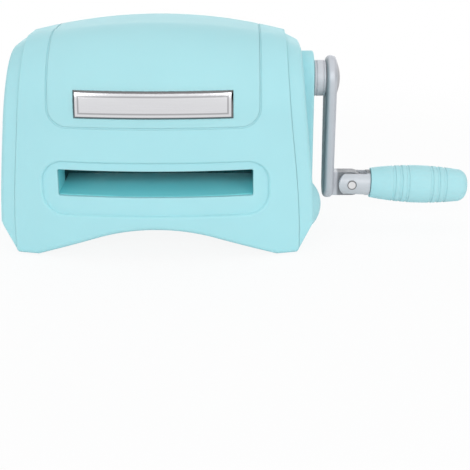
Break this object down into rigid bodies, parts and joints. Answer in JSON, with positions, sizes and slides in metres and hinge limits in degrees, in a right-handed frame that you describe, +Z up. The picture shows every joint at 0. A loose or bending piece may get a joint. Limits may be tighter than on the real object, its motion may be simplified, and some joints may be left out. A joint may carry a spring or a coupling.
{
  "type": "die cutting machine",
  "caption": "Hand-cranked die cutting machine: rounded aqua casing with a wide feed slot between geared rollers, and a folding crank handle on the right.",
  "frame": {"origin": "centre of the bounding box's footprint, on the surface that the machine stands on", "axes": "+X along the rollers towards the crank, +Y from the front to the rear, +Z up"},
  "size_m": [0.2706, 0.1152, 0.126],
  "materials": {
    "aqua_plastic": "satin",
    "grip_plastic": "satin",
    "plate_chrome": "bright",
    "grey_enamel": "satin",
    "steel": "ground",
    "pin_steel": "turned",
    "roller_coat": "satin",
    "bush_brass": "machined",
    "foot_rubber": "matt"
  },
  "bodies": {
    "base": {"main_shell": "aqua_plastic", "rear_shell": "aqua_plastic", "hood_panel": "aqua_plastic", "nameplate": "plate_chrome", "left_end_cap": "aqua_plastic", "right_end_cap": "aqua_plastic", "crank_housing": "aqua_plastic", "side_dome": "aqua_plastic", "base_plate": "aqua_plastic", "rubber_feet": "foot_rubber", "front_feed_throat": "aqua_plastic", "rear_feed_throat": "aqua_plastic", "left_frame_plate": "steel", "right_frame_plate": "steel", "tie_rods": "steel", "roller_bushes": "bush_brass", "crank_bushes": "bush_brass", "cap_screws": "steel", "base_screws": "steel", "housing_screws": "steel"},
    "upper_roller_set": {"upper_roller": "roller_coat", "upper_sync_gear": "steel", "drive_gear": "steel", "upper_roller_clips": "steel"},
    "lower_roller_set": {"lower_roller": "roller_coat", "lower_sync_gear": "steel", "lower_roller_clips": "steel"},
    "crank": {"crank_shaft": "steel", "drive_pinion": "steel", "crank_clips": "steel", "crank_hub": "grey_enamel", "crank_arm": "grey_enamel", "crank_screw": "steel", "crank_cap": "grey_enamel"},
    "handle": {"handle_fork": "grey_enamel", "hinge_pin": "pin_steel", "grip_spindle": "steel"},
    "grip_barrel": {"grip": "grip_plastic"}
  },
  "joints": [
    {"name": "crank_turn", "type": "hinge", "parent": "base", "child": "crank", "pos_m": [0.04895, 0, 0.09175], "axis": [1, 0, 0], "continuous": true},
    {"name": "upper_roller_turn", "type": "hinge", "parent": "base", "child": "upper_roller_set", "pos_m": [-0.04685, 0, 0.055], "axis": [1, 0, 0], "continuous": true},
    {"name": "lower_roller_turn", "type": "hinge", "parent": "base", "child": "lower_roller_set", "pos_m": [-0.04685, 0, 0.0295], "axis": [1, 0, 0], "continuous": true},
    {"name": "handle_fold", "type": "hinge", "parent": "crank", "child": "handle", "pos_m": [0.06615, 0, 0.029], "axis": [0, -1, 0], "range_deg": [0, 87]},
    {"name": "grip_spin", "type": "hinge", "parent": "handle", "child": "grip_barrel", "pos_m": [0.06615, 0, 0.029], "axis": [0.9995, 0, -0.0332], "continuous": true}
  ],
  "couplings": [
    {"joint": "upper_roller_turn", "follows": "crank_turn", "ratio": -0.32432},
    {"joint": "lower_roller_turn", "follows": "crank_turn", "ratio": 0.32432}
  ]
}
